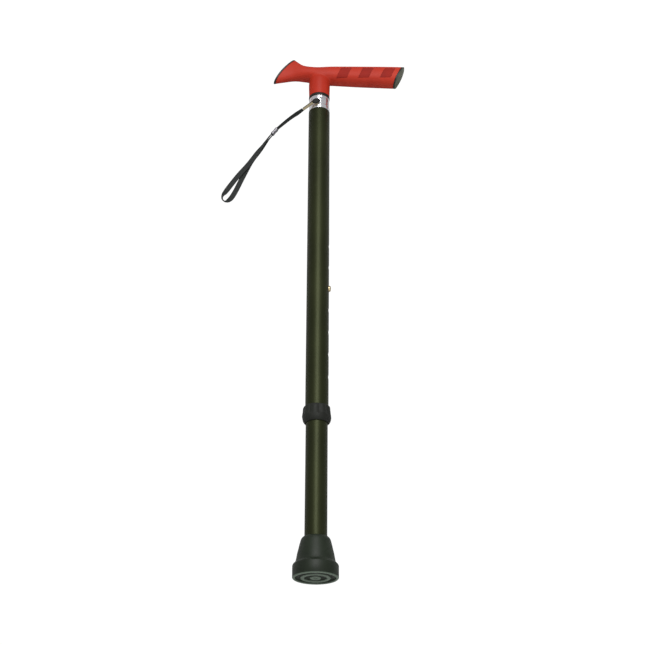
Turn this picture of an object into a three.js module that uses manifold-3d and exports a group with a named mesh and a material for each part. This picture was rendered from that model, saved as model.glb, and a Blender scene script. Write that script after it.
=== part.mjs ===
// Height-adjustable walking cane with a T-handle, lying on its side.
// Millimetres. The origin is the middle of the rubber foot's tread, +Y runs up the shaft to the handle,
// +X is the side of the handle's long arm and +Z points up from the surface that the cane lies on.
import * as THREE from "three";
import { mergeVertices } from "three/addons/utils/BufferGeometryUtils.js";
import Module from "manifold-3d";

const wasm = await Module();
wasm.setup();

// Driving dimensions.
const GAP = 0.3;                 // clearance between pieces that touch on the real cane
const ROUND = 48;                // facets round a turned piece
const SMALL_ROUND = 20;          // facets round a pin or a button

const UPPER_R = 11.6;            // upper tube
const UPPER_WALL = 0.4;
const LOWER_R = 10.9;            // lower tube slides in the upper one
const LOWER_WALL = 0.8;
const UPPER_BOTTOM = 162.4;      // ends of the tubes along the shaft
const UPPER_TOP = 525.8;
const LOWER_BOTTOM = 14.1;
const LOWER_TOP = 331.4;

const BUTTON_Y = 306;            // the snap button and the row of height holes
const HOLE_PITCH = 25;
const HOLES_BELOW = 4;
const HOLES_ABOVE = 2;
const HOLE_R = 3.4;
const BUTTON_R = 3.1;
const BUTTON_TIP = 13.6;

const FOOT_R = 22;               // rubber ferrule
const FOOT_BAND = 11.9;
const FOOT_NECK_R = 18.8;
const FOOT_NECK_Y = 16.9;
const FOOT_TOP_R = 14.2;
const FOOT_TOP = 39.7;
const TREAD_DEPTH = 1.6;

const RING_BOTTOM = 155.8;       // lobed lock ring
const RING_BAND = 162.2;
const RING_TOP = 173;
const RING_VALLEY_R = 13.5;
const RING_LOBE_R = 14.6;
const LOBES = 9;

const NECK_R = 11.4;             // collar, black ring and the grip's stem at its foot
const COLLAR_TOP = 542.3;
const STEM_BOTTOM = 546;
const CORE_R = 9;
const CORE_BOTTOM = 470;
const CORE_TOP = 577;

const GRIP_HALF = 11.2;          // half the handle's thickness
const GRIP_POWER = 2.4;          // squareness of its section
const CAP_THICK = 1.6;           // plates that close the two ends of the handle
const PAD_DEPTH = 1;             // pads let into the long arm
const PAD_PITCH = 24.35;
const PAD_WIDTH = 11.6;
const PAD_ROWS = 3;

const STUD = new THREE.Vector3(-3.3, 532.6, 12.2);   // the strap's eye turns on this stud
const CLIP_END = new THREE.Vector3(-17.3, 527.4, 5);
const CRIMP_START = new THREE.Vector3(-46.6, 509.5, -7.9);
const CRIMP_END = new THREE.Vector3(-51.9, 502.7, -8.4);
const STRAP_R = 0.8;

// Materials, one for each finish.
function finish(color, roughness, metalness = 0) {
  return new THREE.MeshStandardMaterial({ color, roughness, metalness });
}
const SOFT_RED = finish(0xb83a2a, 0.55);
const DARK_RED = finish(0x9c2a20, 0.7);
const OLIVE_PLASTIC = finish(0x4b4d42, 0.5);
const BLACK_PLASTIC = finish(0x1c1c1c, 0.45);
const LACQUER = finish(0x26281f, 0.25, 0.3);
const CHROME = finish(0xd6d8dc, 0.12, 1);
const STEEL = finish(0x9a9a98, 0.3, 1);
const BRASS = finish(0xb59a5c, 0.35, 1);
const RUBBER = finish(0x2b322a, 0.85);
const NYLON = finish(0xd8d4c4, 0.5);
const WEBBING = finish(0x2c3331, 0.8);

const cane = new THREE.Group();

function add(name, geometry, material, parent = cane) {
  const mesh = new THREE.Mesh(geometry, material);
  mesh.name = name;
  parent.add(mesh);
  return mesh;
}

// A closed geometry as a solid that can be joined and cut.
function solid(geometry) {
  const bare = geometry.clone();
  bare.deleteAttribute("normal");
  bare.deleteAttribute("uv");
  const merged = mergeVertices(bare, 1e-4);
  const index = merged.index.array;
  const triVerts = [];
  for (let i = 0; i < index.length; i += 3) {
    const [a, b, c] = [index[i], index[i + 1], index[i + 2]];
    if (a !== b && b !== c && c !== a) triVerts.push(a, b, c);
  }
  return new wasm.Manifold(new wasm.Mesh({
    numProp: 3,
    vertProperties: new Float32Array(merged.attributes.position.array),
    triVerts: new Uint32Array(triVerts),
  }));
}

function geometryOf(manifold) {
  const mesh = manifold.getMesh();
  const geometry = new THREE.BufferGeometry();
  geometry.setAttribute("position", new THREE.BufferAttribute(new Float32Array(mesh.vertProperties), 3));
  geometry.setIndex(new THREE.BufferAttribute(new Uint32Array(mesh.triVerts), 1));
  geometry.computeVertexNormals();
  return geometry;
}

// A piece turned about the shaft. The outline runs up its outside and back down its bore or the axis.
function turned(outline, facets = ROUND) {
  return new THREE.LatheGeometry(outline.map(([r, y]) => new THREE.Vector2(r, y)), facets);
}

function sleeve(inner, outer, bottom, top) {
  return turned([[outer, bottom], [outer, top], [inner, top], [inner, bottom], [outer, bottom]]);
}

function rod(radius, bottom, top, facets = ROUND) {
  return turned([[0, bottom], [radius, bottom], [radius, top], [0, top]], facets);
}

// A pin along +X or +Z, turned from the outline of a piece along +Y.
function alongX(geometry, y = 0, z = 0) {
  return geometry.rotateZ(-Math.PI / 2).translate(0, y, z);
}

function alongZ(geometry, x, y) {
  return geometry.rotateX(Math.PI / 2).translate(x, y, 0);
}

// ---- Rubber ferrule and the washer that the tube stands on ----

function ferrule() {
  const outline = [[0, 0], [5, 0], [5.6, TREAD_DEPTH], [10.4, TREAD_DEPTH], [11, 0], [14, 0]];
  outline.push([14.6, TREAD_DEPTH], [19, TREAD_DEPTH], [19.6, 0], [FOOT_R - 1, 0], [FOOT_R, 1.2]);
  const flare = new THREE.QuadraticBezierCurve(
    new THREE.Vector2(FOOT_R, FOOT_BAND),
    new THREE.Vector2(FOOT_R - 1.2, FOOT_NECK_Y - 1.6),
    new THREE.Vector2(FOOT_NECK_R, FOOT_NECK_Y),
  );
  for (const p of flare.getPoints(4)) outline.push([p.x, p.y]);
  outline.push([FOOT_TOP_R, FOOT_TOP - 2.6], [FOOT_TOP_R - 0.6, FOOT_TOP - 1.2], [FOOT_TOP_R - 2, FOOT_TOP]);
  const bore = LOWER_R + GAP;
  outline.push([bore, FOOT_TOP], [bore, LOWER_BOTTOM - 2.2], [0, LOWER_BOTTOM - 2.2]);
  return turned(outline);
}
add("ferrule", ferrule(), RUBBER);
add("ferrule_washer", rod(LOWER_R - 0.2, LOWER_BOTTOM - 1.9, LOWER_BOTTOM - GAP), STEEL);

// ---- Lower tube with its plug, snap button and spring ----

const buttonHole = solid(alongX(rod(HOLE_R, 5, 20, SMALL_ROUND), BUTTON_Y));
const lowerInner = LOWER_R - LOWER_WALL;
add(
  "lower_tube",
  geometryOf(solid(sleeve(lowerInner, LOWER_R, LOWER_BOTTOM, LOWER_TOP)).subtract(buttonHole)),
  LACQUER,
);

const plugR = lowerInner - GAP;
add(
  "lower_tube_plug",
  turned([
    [0, LOWER_TOP - 11], [plugR - 0.6, LOWER_TOP - 11], [plugR, LOWER_TOP - 10], [plugR, LOWER_TOP + GAP],
    [LOWER_R, LOWER_TOP + GAP], [LOWER_R, LOWER_TOP + 2], [LOWER_R - 0.8, LOWER_TOP + 2.8],
    [0, LOWER_TOP + 2.8],
  ]),
  BLACK_PLASTIC,
);

function snapButton() {
  const outline = [[0, 6.3], [4.2, 6.3], [4.2, 7.5], [BUTTON_R, 7.5], [BUTTON_R, BUTTON_TIP - 1.5]];
  const crown = new THREE.QuadraticBezierCurve(
    new THREE.Vector2(BUTTON_R, BUTTON_TIP - 1.5),
    new THREE.Vector2(BUTTON_R - 0.3, BUTTON_TIP),
    new THREE.Vector2(0, BUTTON_TIP),
  );
  for (const p of crown.getPoints(4).slice(1)) outline.push([p.x, p.y]);
  return alongX(turned(outline, SMALL_ROUND), BUTTON_Y);
}
add("snap_button", snapButton(), BRASS);

// A strip of spring steel bent to a U. Its front leaf moves in with the button, the bow and the back leaf stay.
const LEAF = 0.6;
const LEAF_FRONT = 6;
const LEAF_BACK = -7.6;
const LEAF_TOP = BUTTON_Y + 6;
const LEAF_BEND = BUTTON_Y - 46;

function strip(shape) {
  const geometry = new THREE.ExtrudeGeometry(shape, { depth: 6, bevelEnabled: false, curveSegments: 10 });
  return geometry.translate(0, 0, -3);
}

function springBow() {
  const middle = (LEAF_FRONT + LEAF_BACK) / 2;
  const outer = (LEAF_FRONT - LEAF_BACK) / 2;
  const shape = new THREE.Shape();
  shape.moveTo(LEAF_BACK + LEAF, LEAF_TOP);
  shape.lineTo(LEAF_BACK, LEAF_TOP);
  shape.lineTo(LEAF_BACK, LEAF_BEND);
  shape.absarc(middle, LEAF_BEND, outer, Math.PI, 2 * Math.PI, false);
  shape.lineTo(LEAF_FRONT - LEAF, LEAF_BEND);
  shape.absarc(middle, LEAF_BEND, outer - LEAF, 2 * Math.PI, Math.PI, true);
  return strip(shape);
}

const leafShape = new THREE.Shape([
  new THREE.Vector2(LEAF_FRONT - LEAF, LEAF_BEND + GAP),
  new THREE.Vector2(LEAF_FRONT, LEAF_BEND + GAP),
  new THREE.Vector2(LEAF_FRONT, LEAF_TOP),
  new THREE.Vector2(LEAF_FRONT - LEAF, LEAF_TOP),
]);
add("spring_leaf", strip(leafShape), STEEL);
add("spring_bow", springBow(), STEEL);

// ---- Upper tube with the row of height holes on its +X side ----

function upperTube() {
  let tube = solid(sleeve(UPPER_R - UPPER_WALL, UPPER_R, UPPER_BOTTOM, UPPER_TOP));
  for (let i = -HOLES_BELOW; i <= HOLES_ABOVE; i++) {
    tube = tube.subtract(solid(alongX(rod(HOLE_R, 5, 20, SMALL_ROUND), BUTTON_Y + i * HOLE_PITCH)));
  }
  return geometryOf(tube);
}
add("upper_tube", upperTube(), LACQUER);

// ---- Lock ring, clamp washer and split collet ----

// Radius of the ring's outside at a place round the shaft, with one lobe on the -X side.
function lobed(angle, share) {
  const wave = 0.5 + 0.5 * Math.cos(LOBES * (angle - Math.PI));
  return RING_VALLEY_R + (RING_LOBE_R - RING_VALLEY_R) * share * Math.sqrt(wave);
}

function lockRing() {
  const facets = 8 * LOBES;
  const levels = [
    [RING_BOTTOM, 0, -1.4], [RING_BOTTOM + 1.4, 0, -0.3], [RING_BAND - 2, 0, 0.7], [RING_BAND, 0, 0.9],
    [RING_BAND + 0.8, 1, 0], [RING_TOP - 1.4, 1, -0.9], [RING_TOP, 0.35, -0.8],
  ];
  const rings = levels.map(([y, share, grow]) => {
    const ring = [];
    for (let i = 0; i < facets; i++) {
      const angle = (2 * Math.PI * i) / facets;
      const r = lobed(angle, share) + grow;
      ring.push(new THREE.Vector3(r * Math.cos(angle), y, r * Math.sin(angle)));
    }
    return ring;
  });
  const bore = turned([
    [0, RING_BOTTOM - 1], [LOWER_R + 0.4, RING_BOTTOM - 1], [LOWER_R + 0.4, RING_BOTTOM + 1.2],
    [UPPER_R + GAP + 0.1, RING_BOTTOM + 1.6], [UPPER_R + GAP + 0.1, RING_TOP + 1], [0, RING_TOP + 1],
  ], 2 * ROUND);
  return geometryOf(solid(lofted(rings)).subtract(solid(bore)));
}

// A skin over rings of equally many points, closed with a fan at each end.
function lofted(rings) {
  const around = rings[0].length;
  const position = rings.flat().flatMap((p) => [p.x, p.y, p.z]);
  const index = [];
  for (let i = 0; i + 1 < rings.length; i++) {
    for (let j = 0; j < around; j++) {
      const [a, b] = [i * around + j, i * around + ((j + 1) % around)];
      index.push(a, a + around, b, b, a + around, b + around);
    }
  }
  for (const [ring, flip] of [[0, false], [rings.length - 1, true]]) {
    const middle = position.length / 3;
    const centre = rings[ring].reduce((sum, p) => sum.add(p), new THREE.Vector3()).divideScalar(around);
    position.push(centre.x, centre.y, centre.z);
    for (let j = 0; j < around; j++) {
      const [a, b] = [ring * around + j, ring * around + ((j + 1) % around)];
      index.push(middle, flip ? b : a, flip ? a : b);
    }
  }
  const geometry = new THREE.BufferGeometry();
  geometry.setAttribute("position", new THREE.Float32BufferAttribute(position, 3));
  geometry.setIndex(index);
  return geometry;
}
add("lock_ring", lockRing(), BLACK_PLASTIC);
add("clamp_washer", sleeve(LOWER_R + GAP, UPPER_R + 0.1, RING_BOTTOM + 1.9, RING_BOTTOM + 3.1), BRASS);

function splitCollet() {
  const collet = solid(sleeve(LOWER_R + GAP, UPPER_R + 0.1, RING_BOTTOM + 3.4, UPPER_BOTTOM - GAP));
  const split = new THREE.BoxGeometry(8, 20, 1.2).translate(-UPPER_R, UPPER_BOTTOM, 0);
  return geometryOf(collet.subtract(solid(split)));
}
add("split_collet", splitCollet(), NYLON);

// ---- Core rod, collar, black ring and rivet ----

// Holes for the rivet and the strap stud go through the collar into the core.
const rivetTurn = THREE.MathUtils.degToRad(11);
const RIVET_Y = 540.2;
const RIVET_R = 1.2;
const STUD_R = 1.4;

function radialPin(geometry) {
  return alongZ(geometry, 0, 0).rotateY(rivetTurn).translate(0, RIVET_Y, 0);
}
const rivetHole = solid(radialPin(rod(RIVET_R + GAP, 5.7, 20, SMALL_ROUND)));
const studHole = solid(alongZ(rod(STUD_R + GAP, 4.7, 20, SMALL_ROUND), STUD.x, STUD.y));

const core = solid(turned([
  [0, CORE_BOTTOM], [UPPER_R - UPPER_WALL - 1, CORE_BOTTOM], [UPPER_R - UPPER_WALL - GAP, CORE_BOTTOM + 1.5],
  [UPPER_R - UPPER_WALL - GAP, UPPER_TOP - GAP], [CORE_R, UPPER_TOP - GAP], [CORE_R, CORE_TOP - 1],
  [CORE_R - 1, CORE_TOP], [0, CORE_TOP],
]));
add("handle_core", geometryOf(core.subtract(rivetHole).subtract(studHole)), NYLON);

const neckBore = CORE_R + GAP;
const collar = solid(sleeve(neckBore, NECK_R, UPPER_TOP + GAP, COLLAR_TOP));
add("collar", geometryOf(collar.subtract(rivetHole).subtract(studHole)), CHROME);
add("neck_ring", sleeve(neckBore, NECK_R + 0.15, COLLAR_TOP + GAP, STEM_BOTTOM - GAP), BLACK_PLASTIC);
add(
  "collar_rivet",
  radialPin(turned([
    [0, 6], [RIVET_R, 6], [RIVET_R, NECK_R + GAP], [2.2, NECK_R + GAP],
    [2, NECK_R + 0.9], [1.2, NECK_R + 1.4], [0, NECK_R + 1.6],
  ], SMALL_ROUND)),
  CHROME,
);

// ---- Grip: a T moulded round the core, with pads and end plates let in ----

// Underside, top and half thickness of the arm at places along it.
const ARM = [
  [-56, 564.6, 600, 6.8], [-40, 567.6, 599.5, 7.2], [-31, 569.5, 597.6, 8], [-26, 570.3, 593.6, 8.7],
  [-19, 570.5, 587.5, 9.6], [-11, 569.8, 584.9, 10.5], [0, 566.6, 584.3, GRIP_HALF],
  [14, 566, 585.3, GRIP_HALF], [46, 563.9, 585.7, GRIP_HALF], [80, 562.4, 585.7, GRIP_HALF],
  [104, 561.4, 585.1, GRIP_HALF],
];
const ARM_STEPS = 32;
const ARM_AROUND = 28;

function along(column) {
  return new THREE.SplineCurve(ARM.map((row) => new THREE.Vector2(row[0], row[column])));
}
const underside = along(1);
const topSide = along(2);
const thickness = along(3);

function powered(value) {
  return Math.sign(value) * Math.abs(value) ** (2 / GRIP_POWER);
}

// The arm before its ends are cut, grown or shrunk all round by some millimetres.
function arm(grow = 0) {
  const rings = [];
  for (let i = ARM_STEPS; i >= 0; i--) {
    const low = underside.getPoint(i / ARM_STEPS);
    const high = topSide.getPoint(i / ARM_STEPS);
    const tall = (high.y - low.y) / 2 + grow;
    const deep = thickness.getPoint(i / ARM_STEPS).y + grow;
    const ring = [];
    for (let j = 0; j < ARM_AROUND; j++) {
      const angle = (2 * Math.PI * j) / ARM_AROUND;
      const y = (low.y + high.y) / 2 + tall * powered(Math.cos(angle));
      ring.push(new THREE.Vector3(low.x, y, deep * powered(Math.sin(angle))));
    }
    rings.push(ring);
  }
  return solid(lofted(rings));
}

// A flat outline in the plane of the handle, pushed through its thickness from one height to another.
function slab(corners, from = -2 * GRIP_HALF, to = 2 * GRIP_HALF) {
  const shape = new THREE.Shape(corners);
  const geometry = new THREE.ExtrudeGeometry(shape, { depth: to - from, bevelEnabled: false });
  return solid(geometry.translate(0, 0, from));
}

// The handle ends in a bulging slanted face on the horn and a flat slanted one on the long arm.
const HORN = new THREE.Vector2(-38.7, 581.3);
const HORN_IN = new THREE.Vector2(0.763, -0.646);
const TIP = new THREE.Vector2(89.5, 573);
const TIP_IN = new THREE.Vector2(-0.9, 0.436);

function offset(centre, inward, depth, across) {
  const onFace = new THREE.Vector2(-inward.y, inward.x).multiplyScalar(across);
  return centre.clone().addScaledVector(inward, depth).add(onFace);
}

// All of the handle that lies deeper than some millimetres under both end faces.
function betweenEnds(depth) {
  const corners = [];
  for (let across = -32; across <= 32; across += 4) {
    corners.push(offset(HORN, HORN_IN, depth - 1.6 + across ** 2 / 180, across));
  }
  corners.push(offset(TIP, TIP_IN, depth, -32), offset(TIP, TIP_IN, depth, 32));
  return slab(corners);
}

function endPeg(centre, inward, radius, length) {
  const peg = rod(radius, -0.4, length, SMALL_ROUND);
  return solid(peg.rotateZ(Math.atan2(-inward.x, inward.y)).translate(centre.x, centre.y, 0));
}

const armBlank = arm();
const endPlates = armBlank.intersect(betweenEnds(0)).subtract(betweenEnds(CAP_THICK));
const hornFirst = (a, b) => a.boundingBox().min[0] - b.boundingBox().min[0];
const [hornPlate, tipPlate] = endPlates.decompose().sort(hornFirst);
const PEG_R = 2.6;
const PEG_LENGTH = 8;
add("horn_end_plate", geometryOf(hornPlate.add(endPeg(HORN, HORN_IN, PEG_R, PEG_LENGTH))), OLIVE_PLASTIC);
add("long_arm_end_plate", geometryOf(tipPlate.add(endPeg(TIP, TIP_IN, PEG_R, PEG_LENGTH))), OLIVE_PLASTIC);

// Three pads lie on the near side of the long arm and three on the far side.
function padOutline(number, margin) {
  const left = 18.9 + (number % PAD_ROWS) * PAD_PITCH;
  const [low, high, lean] = [567.6, 579.8, 0.48];
  const rise = lean * (high - low);
  const corners = [
    new THREE.Vector2(left - margin, low - margin),
    new THREE.Vector2(left + PAD_WIDTH + margin, low - margin),
    new THREE.Vector2(left + PAD_WIDTH + margin + rise, high + margin),
    new THREE.Vector2(left - margin + rise, high + margin),
  ];
  return number < PAD_ROWS ? slab(corners, 1, 2 * GRIP_HALF) : slab(corners, -2 * GRIP_HALF, -1);
}

function gripSolid() {
  const stem = solid(turned([
    [0, STEM_BOTTOM], [NECK_R, STEM_BOTTOM], [11.6, 554], [11.8, 561], [11.5, 567], [9.5, 574], [0, 574],
  ]));
  let grip = armBlank.intersect(betweenEnds(CAP_THICK + GAP)).add(stem);
  grip = grip.subtract(solid(rod(CORE_R + GAP, STEM_BOTTOM - 1, CORE_TOP + GAP)));
  grip = grip.subtract(endPeg(HORN, HORN_IN, PEG_R + GAP, PEG_LENGTH + GAP));
  grip = grip.subtract(endPeg(TIP, TIP_IN, PEG_R + GAP, PEG_LENGTH + GAP));
  const skin = arm(1).subtract(arm(-PAD_DEPTH - GAP));
  for (let i = 0; i < 2 * PAD_ROWS; i++) grip = grip.subtract(skin.intersect(padOutline(i, GAP)));
  return grip;
}
add("grip", geometryOf(gripSolid()), SOFT_RED);

const padSkin = armBlank.subtract(arm(-PAD_DEPTH));
for (let i = 0; i < 2 * PAD_ROWS; i++) {
  add(`grip_pad_${i + 1}`, geometryOf(padSkin.intersect(padOutline(i, 0))), DARK_RED);
}

// ---- Wrist strap: stud, clip, tail, crimp and loop ----

const clipHeading = CLIP_END.clone().sub(STUD).setZ(0).normalize();

// A round pin with an oval head that lies along the clip.
function strapStud() {
  const pin = rod(STUD_R, 5, STUD.z + 1, SMALL_ROUND);
  const head = turned([
    [0, STUD.z + 0.7], [3, STUD.z + 0.7], [3.2, STUD.z + 1.2], [2.5, STUD.z + 2.2], [0, STUD.z + 2.6],
  ], SMALL_ROUND).scale(1.45, 1, 1);
  const both = solid(alongZ(pin, 0, 0)).add(solid(alongZ(head, 0, 0)));
  const turn = Math.atan2(clipHeading.y, clipHeading.x);
  return geometryOf(both).rotateZ(turn).translate(STUD.x, STUD.y, 0);
}
add("strap_stud", strapStud(), BLACK_PLASTIC);

// The clip is a strip that turns down from the stud's eye towards the surface.
function strapClip() {
  const side = new THREE.Vector3(-clipHeading.y, clipHeading.x, 0);
  const path = new THREE.CatmullRomCurve3([
    STUD.clone().addScaledVector(clipHeading, 2.2), STUD.clone().addScaledVector(clipHeading, 4),
    STUD.clone().lerp(CLIP_END, 0.65).add(new THREE.Vector3(0, 0, 1)), CLIP_END,
  ]);
  const rings = [];
  for (let i = 0; i <= 8; i++) {
    const at = path.getPoint(i / 8);
    const up = new THREE.Vector3().crossVectors(path.getTangent(i / 8), side).normalize();
    if (up.z < 0) up.negate();
    const ring = [[-1, -1], [1, -1], [1, 1], [-1, 1]].map(([s, u]) => {
      return at.clone().addScaledVector(side, 2.1 * s).addScaledVector(up, 0.4 * u);
    });
    rings.unshift(ring);
  }
  const eye = alongZ(sleeve(STUD_R + GAP, 3, STUD.z - 0.4, STUD.z + 0.4), STUD.x, STUD.y);
  return geometryOf(solid(lofted(rings)).add(solid(eye)));
}
add("strap_clip", strapClip(), BRASS);

const crimpHeading = CRIMP_END.clone().sub(CRIMP_START).normalize();
const crimpLength = CRIMP_START.distanceTo(CRIMP_END);
const crimp = rod(1, 0, crimpLength, SMALL_ROUND).scale(1.9, 1, 3);
const crimpTurn = new THREE.Quaternion().setFromRotationMatrix(
  new THREE.Matrix4().lookAt(CRIMP_END, CRIMP_START, new THREE.Vector3(0, 0, 1)),
);
add(
  "strap_crimp",
  crimp.rotateX(Math.PI / 2).applyQuaternion(crimpTurn).translate(...CRIMP_START),
  STEEL,
);

function cord(points, steps) {
  const section = [];
  for (let i = 0; i < 8; i++) {
    const angle = (Math.PI * i) / 4;
    section.push(new THREE.Vector2(STRAP_R * Math.cos(angle), STRAP_R * Math.sin(angle)));
  }
  return new THREE.ExtrudeGeometry(new THREE.Shape(section), {
    steps,
    bevelEnabled: false,
    extrudePath: new THREE.CatmullRomCurve3(points),
  });
}

const tail = [
  CLIP_END.clone().add(new THREE.Vector3(-0.7, -0.3, -0.3)),
  new THREE.Vector3(-23.8, 524.2, 1.7),
  new THREE.Vector3(-30.9, 520.7, -1.6),
  new THREE.Vector3(-38.7, 515.8, -5.2),
  CRIMP_START.clone().addScaledVector(crimpHeading, -0.5),
];
add("strap_tail", cord(tail, 10), WEBBING);

// The loop leaves the crimp on one side, opens out, turns back near the surface and comes in beside its start.
const leave = CRIMP_END.clone().addScaledVector(crimpHeading, 0.5);
const crimpSide = new THREE.Vector3(crimpHeading.y, -crimpHeading.x, 0).normalize();
const loop = [
  leave.clone().addScaledVector(crimpSide, 0.6).setZ(-7.6),
  new THREE.Vector3(-56.7, 496.5, -7.5),
  new THREE.Vector3(-62.3, 486.6, -7.4),
  new THREE.Vector3(-75.5, 464.9, -7.7),
  new THREE.Vector3(-87.9, 448.2, -8.5),
  new THREE.Vector3(-100, 430, -9.8),
  new THREE.Vector3(-103.8, 423.4, -10.3),
  new THREE.Vector3(-103.2, 419, -10.5),
  new THREE.Vector3(-99.9, 417.3, -10.5),
  new THREE.Vector3(-95.3, 420.2, -10.4),
  new THREE.Vector3(-90.1, 429.7, -10.3),
  new THREE.Vector3(-81.6, 450.8, -10.3),
  new THREE.Vector3(-73, 470, -10.3),
  new THREE.Vector3(-61.9, 486.2, -9.9),
  new THREE.Vector3(-55.9, 495.9, -9.5),
  leave.clone().addScaledVector(crimpSide, -0.6).setZ(-9.2),
];
add("strap_loop", cord(loop, 64), WEBBING);

export default cane;
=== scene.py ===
import math

import bpy
import numpy as np
from mathutils import Matrix, Vector


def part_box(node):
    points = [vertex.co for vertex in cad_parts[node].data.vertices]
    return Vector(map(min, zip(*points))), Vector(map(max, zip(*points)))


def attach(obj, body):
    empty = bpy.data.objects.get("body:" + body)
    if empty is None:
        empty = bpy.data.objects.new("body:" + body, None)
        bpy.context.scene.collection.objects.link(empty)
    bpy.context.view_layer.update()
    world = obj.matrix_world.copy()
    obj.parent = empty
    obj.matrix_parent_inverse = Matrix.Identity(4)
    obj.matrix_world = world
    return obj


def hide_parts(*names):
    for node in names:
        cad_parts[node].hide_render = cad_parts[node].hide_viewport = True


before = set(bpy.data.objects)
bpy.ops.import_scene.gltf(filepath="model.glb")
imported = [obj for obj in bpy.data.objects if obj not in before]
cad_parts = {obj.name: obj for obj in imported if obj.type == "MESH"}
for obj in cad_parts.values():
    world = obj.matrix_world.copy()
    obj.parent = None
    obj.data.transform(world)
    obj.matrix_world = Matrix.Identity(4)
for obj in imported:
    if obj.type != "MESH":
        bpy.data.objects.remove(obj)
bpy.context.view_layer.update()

# ---- Camera ----
# It looks down at the lying cane from beyond its foot, square to the shaft and a hair off level.
# A long lens keeps the shaft's two sides nearly parallel.
camera = bpy.data.objects.new("camera", bpy.data.cameras.new("camera"))
bpy.context.scene.collection.objects.link(camera)
bpy.context.scene.camera = camera
camera.data.lens = 75
camera.data.sensor_width = 36
lean = Matrix.Rotation(math.radians(26.2), 3, "X") @ Matrix.Rotation(math.radians(0.35), 3, "Z")
camera.rotation_euler = lean.to_euler()
camera.location = (0.0051, -0.3398, 1.2334)


# ---- Wrist strap: the tape ----
# A soft wrist strap of flat woven nylon tape, 5.6 mm wide and a little over 1 mm thick. One short
# tail runs from the metal clip to the crimp, and the loop leaves the crimp, turns back and ends in it.
def mesh_piece(name, points, faces, body, material, replaces, sharp=35):
    """A piece from points in millimetres, riding on a body of the cane."""
    mesh = bpy.data.meshes.new(name)
    mesh.from_pydata([Vector(p) * 0.001 for p in points], [], faces)
    mesh.update()
    mesh.shade_smooth()
    mesh.set_sharp_from_angle(angle=math.radians(sharp))
    piece = bpy.data.objects.new(name, mesh)
    bpy.context.scene.collection.objects.link(piece)
    mesh.materials.append(material)
    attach(piece, body)
    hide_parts(replaces)
    return piece


def even_curve(knots, count):
    """A smooth line through the knots, as evenly spaced points."""
    knots = np.array(knots, float)
    ends = np.vstack([2 * knots[0] - knots[1], knots, 2 * knots[-1] - knots[-2]])
    dense = []
    for i in range(len(knots) - 1):
        p0, p1, p2, p3 = ends[i : i + 4]
        t = np.linspace(0, 1, 40, endpoint=False)[:, None]
        dense.append(
            0.5 * (2 * p1 + (p2 - p0) * t + (2 * p0 - 5 * p1 + 4 * p2 - p3) * t**2
                   + (3 * p1 - p0 - 3 * p2 + p3) * t**3)
        )
    dense = np.vstack(dense + [knots[-1:]])
    run = np.concatenate([[0], np.cumsum(np.linalg.norm(np.diff(dense, axis=0), axis=1))])
    at = np.linspace(0, run[-1], count)
    return np.stack([np.interp(at, run, dense[:, k]) for k in range(3)], 1), run[-1]


def skin(rows, around):
    """Faces over a row of equal rings, closed at both ends."""
    faces = []
    for i in range(rows - 1):
        for j in range(around):
            a, b = i * around + j, i * around + (j + 1) % around
            faces.append((a, b, b + around, a + around))
    faces.append(tuple(range(around))[::-1])
    faces.append(tuple(range((rows - 1) * around, rows * around)))
    return faces


def tape(name, line, length, leans, widths, material):
    """A flat woven tape on its line. The lean is how far it tips from standing on its edge."""
    half, thick, selvedge = 2.8, 0.55, 0.08
    ring = []
    for side in (1, -1):
        for u in np.linspace(-side, side, 9):
            bead = selvedge if abs(u) > 0.7 else 0
            ring.append((u * half, side * (thick * (1 - 0.55 * abs(u) ** 6) + bead)))
    tangents = np.gradient(line, axis=0)
    points, marks = [], []
    for i, centre in enumerate(line):
        along = Vector(tangents[i]).normalized()
        out = along.cross(Vector((0, 0, 1))).normalized()
        face = (out * math.cos(leans[i]) + out.cross(along).normalized() * -math.sin(leans[i])).normalized()
        across = face.cross(along).normalized()
        for j, (w, t) in enumerate(ring):
            points.append(Vector(centre) + across * w * widths[i] + face * t)
            marks.append((w, length * i / (len(line) - 1)))
    faces = skin(len(line), len(ring))
    piece = mesh_piece(name, points, faces, "strap", material, name.replace("_tape", ""))
    grid = piece.data.uv_layers.new(name="weave")
    for loop in piece.data.loops:
        w, run = marks[loop.vertex_index]
        grid.data[loop.index].uv = (w * 0.1, run * 0.1)
    return piece


def node(material, kind, **values):
    """A node with its settings and socket values."""
    made = material.node_tree.nodes.new(kind)
    for key, value in values.items():
        if hasattr(made, key) and not key[0].isupper():
            setattr(made, key, value)
        else:
            made.inputs[key.replace("_", " ")].default_value = value
    return made


def surface(material):
    """The sockets of a material's own shader."""
    return material.node_tree.nodes["Principled BSDF"].inputs


def blank(name, **sockets):
    """A new material and a short way to join two sockets."""
    material = bpy.data.materials.new(name)
    material.use_nodes = True
    for key, value in sockets.items():
        surface(material)[key.replace("_", " ")].default_value = value
    return material, material.node_tree.links.new


def ramp(material, stops):
    """A colour ramp through its stops."""
    made = material.node_tree.nodes.new("ShaderNodeValToRGB")
    for element, (place, color) in zip(made.color_ramp.elements, (stops[0], stops[-1])):
        element.position, element.color = place, (*color, 1)
    for place, color in stops[1:-1]:
        made.color_ramp.elements.new(place).color = (*color, 1)
    return made


def colour_by(material, pattern, stops):
    """The base colour follows a pattern."""
    color = ramp(material, stops)
    join = material.node_tree.links.new
    join(pattern, color.inputs["Fac"])
    join(color.outputs["Color"], surface(material)["Base Color"])


def roughness_by(material, pattern, low, high):
    """The roughness follows a pattern, between two values."""
    spread = node(material, "ShaderNodeMapRange", To_Min=low, To_Max=high)
    join = material.node_tree.links.new
    join(pattern, spread.inputs["Value"])
    join(spread.outputs["Result"], surface(material)["Roughness"])


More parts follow.
